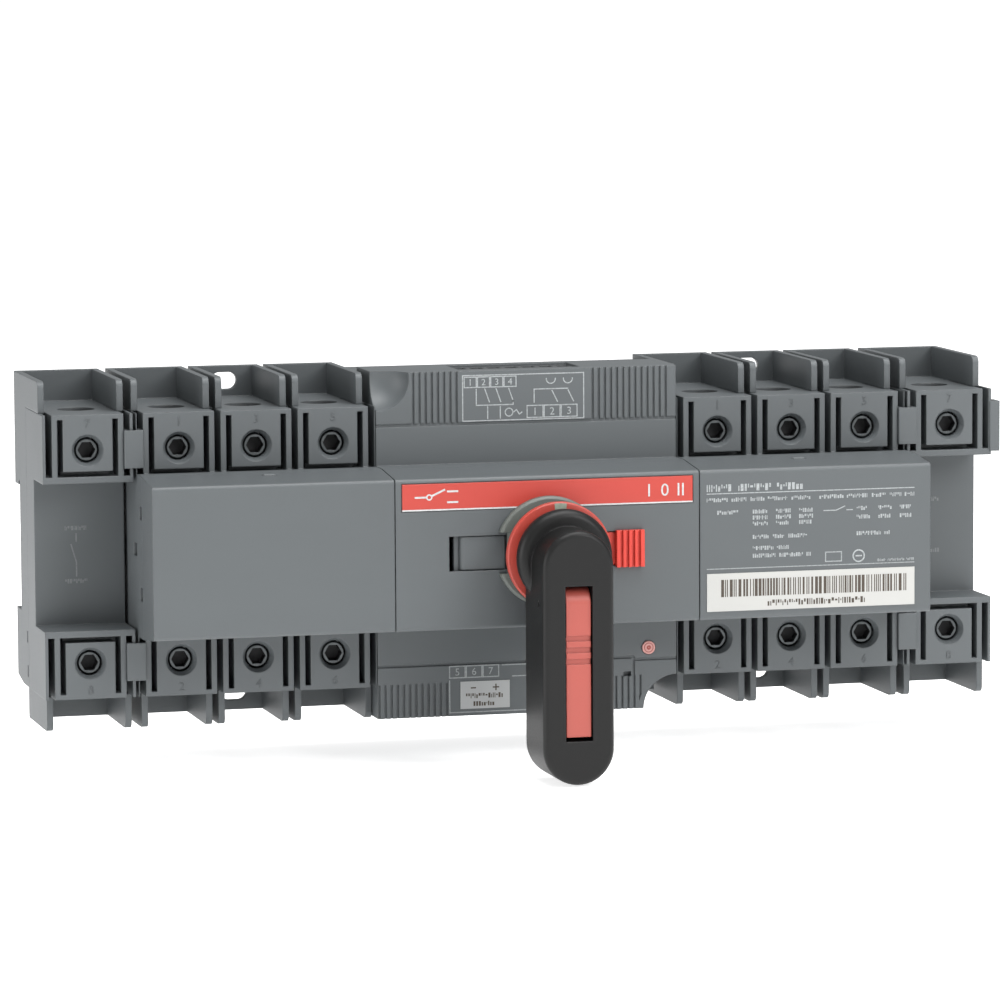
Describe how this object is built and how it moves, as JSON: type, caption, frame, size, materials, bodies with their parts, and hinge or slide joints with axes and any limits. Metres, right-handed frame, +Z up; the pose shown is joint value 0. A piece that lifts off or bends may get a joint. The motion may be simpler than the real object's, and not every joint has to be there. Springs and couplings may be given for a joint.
{
  "type": "motor-operated change-over switch",
  "caption": "Rail or panel mounted change-over switch: pole blocks with shrouded terminals either side of a motor drive with a pointed-down rotary handle.",
  "frame": {"origin": "middle of the four panel screw slots, in the back plane that meets the mounting panel", "axes": "+X along the width to the right, the front faces -Y, +Z up"},
  "size_m": [0.2968, 0.108, 0.1172],
  "materials": {
    "housing_plastic": "fine moulded grain",
    "cover_plastic": "fine moulded grain, slightly satin",
    "handle_plastic": "near-black moulded grain",
    "red_plastic": "satin red",
    "dial_plastic": "light grey moulded grain",
    "contact_copper": "silver-plated copper blades",
    "plated_steel": "zinc plated",
    "machined_steel": "machined",
    "bush_brass": "turned",
    "gear_plastic": "natural acetal",
    "board_laminate": "solder resist",
    "terminal_plastic": "moulded",
    "label_film": "printed film"
  },
  "bodies": {
    "switch_base": {"circuit_board": "board_laminate", "control_terminal_screws": "plated_steel", "control_terminals": "terminal_plastic", "dial_ring": "dial_plastic", "fixed_contacts": "contact_copper", "fuse_cap": "red_plastic", "gear_plate": "machined_steel", "housing_screws": "plated_steel", "idler_pin": "machined_steel", "left_cover": "cover_plastic", "left_front_housing": "housing_plastic", "left_neutral_front": "housing_plastic", "left_neutral_rear": "housing_plastic", "left_rear_housing": "housing_plastic", "link_clips": "housing_plastic", "mechanism_base": "housing_plastic", "mechanism_cover": "cover_plastic", "mechanism_housing": "housing_plastic", "motor": "machined_steel", "motor_screws": "plated_steel", "plate_screws": "plated_steel", "position_switches": "terminal_plastic", "red_band": "red_plastic", "right_cover": "cover_plastic", "right_front_housing": "housing_plastic", "right_neutral_front": "housing_plastic", "right_neutral_rear": "housing_plastic", "right_rear_housing": "housing_plastic", "serial_label": "label_film", "shaft_bushes": "bush_brass", "supply_label": "label_film", "terminal_clamps": "plated_steel", "terminal_screws": "plated_steel"},
    "handle": {"handle_shaft": "machined_steel", "handle_body": "handle_plastic", "handle_screw": "plated_steel", "position_disc": "red_plastic", "padlock_clip_pin": "plated_steel", "shaft_gear": "gear_plastic"},
    "clip": {"padlock_clip": "red_plastic"},
    "idler": {"idler_gear": "gear_plastic"},
    "motor_rotor": {"motor_shaft": "machined_steel", "motor_pinion": "bush_brass"},
    "left_bar": {"left_rack_bar": "gear_plastic"},
    "right_bar": {"right_rack_bar": "gear_plastic"},
    "left_contacts": {"left_rotor": "gear_plastic", "left_neutral_rotor": "gear_plastic", "left_moving_contacts": "contact_copper", "left_blade_springs": "plated_steel", "left_drive_shaft": "machined_steel"},
    "right_contacts": {"right_rotor": "gear_plastic", "right_neutral_rotor": "gear_plastic", "right_moving_contacts": "contact_copper", "right_blade_springs": "plated_steel", "right_drive_shaft": "machined_steel"},
    "lock_knob": {"lock_slide": "housing_plastic"},
    "mode_knob": {"mode_slide": "red_plastic"},
    "left_rail_latch": {"left_rail_clip": "gear_plastic"},
    "right_rail_latch": {"right_rail_clip": "gear_plastic"}
  },
  "joints": [
    {"name": "handle_turn", "type": "hinge", "parent": "switch_base", "child": "handle", "pos_m": [0, -0.09, 0], "axis": [0, -1, 0], "range_deg": [-90, 90]},
    {"name": "padlock_clip_swing", "type": "hinge", "parent": "handle", "child": "clip", "pos_m": [0, -0.1024, -0.012], "axis": [-1, 0, 0], "range_deg": [0, 30]},
    {"name": "idler_spin", "type": "hinge", "parent": "switch_base", "child": "idler", "pos_m": [-0.012, -0.043, -0.02079], "axis": [0, -1, 0], "range_deg": [-271, 271]},
    {"name": "motor_spin", "type": "hinge", "parent": "switch_base", "child": "motor_rotor", "pos_m": [-0.02512, -0.043, -0.03588], "axis": [0, -1, 0], "range_deg": [-811, 811]},
    {"name": "left_bar_travel", "type": "slide", "parent": "switch_base", "child": "left_bar", "axis": [0, 0, 1], "range_m": [-0.00944, 0.00944]},
    {"name": "right_bar_travel", "type": "slide", "parent": "switch_base", "child": "right_bar", "axis": [0, 0, 1], "range_m": [-0.00944, 0.00944]},
    {"name": "left_contact_turn", "type": "hinge", "parent": "switch_base", "child": "left_contacts", "pos_m": [-0.08293, -0.0205, 0], "axis": [1, 0, 0], "range_deg": [-60.2, 60.2]},
    {"name": "right_contact_turn", "type": "hinge", "parent": "switch_base", "child": "right_contacts", "pos_m": [0.08293, -0.0205, 0], "axis": [1, 0, 0], "range_deg": [-60.2, 60.2]},
    {"name": "lock_slide_travel", "type": "slide", "parent": "switch_base", "child": "lock_knob", "axis": [1, 0, 0], "range_m": [-0.0028, 0]},
    {"name": "mode_slide_travel", "type": "slide", "parent": "switch_base", "child": "mode_knob", "axis": [1, 0, 0], "range_m": [-0.0031, 0]},
    {"name": "left_rail_clip_travel", "type": "slide", "parent": "switch_base", "child": "left_rail_latch", "axis": [0, 0, -1], "range_m": [0, 0.003], "stiffness_N_per_m": 400, "springref_m": -0.0005},
    {"name": "right_rail_clip_travel", "type": "slide", "parent": "switch_base", "child": "right_rail_latch", "axis": [0, 0, -1], "range_m": [0, 0.003], "stiffness_N_per_m": 400, "springref_m": -0.0005}
  ],
  "couplings": [
    {"joint": "idler_spin", "follows": "handle_turn", "ratio": -3},
    {"joint": "motor_spin", "follows": "handle_turn", "ratio": 9},
    {"joint": "left_bar_travel", "follows": "handle_turn", "m_per_rad": -0.006},
    {"joint": "right_bar_travel", "follows": "handle_turn", "m_per_rad": 0.006},
    {"joint": "left_contact_turn", "follows": "handle_turn", "ratio": 0.66667},
    {"joint": "right_contact_turn", "follows": "handle_turn", "ratio": -0.66667}
  ]
}
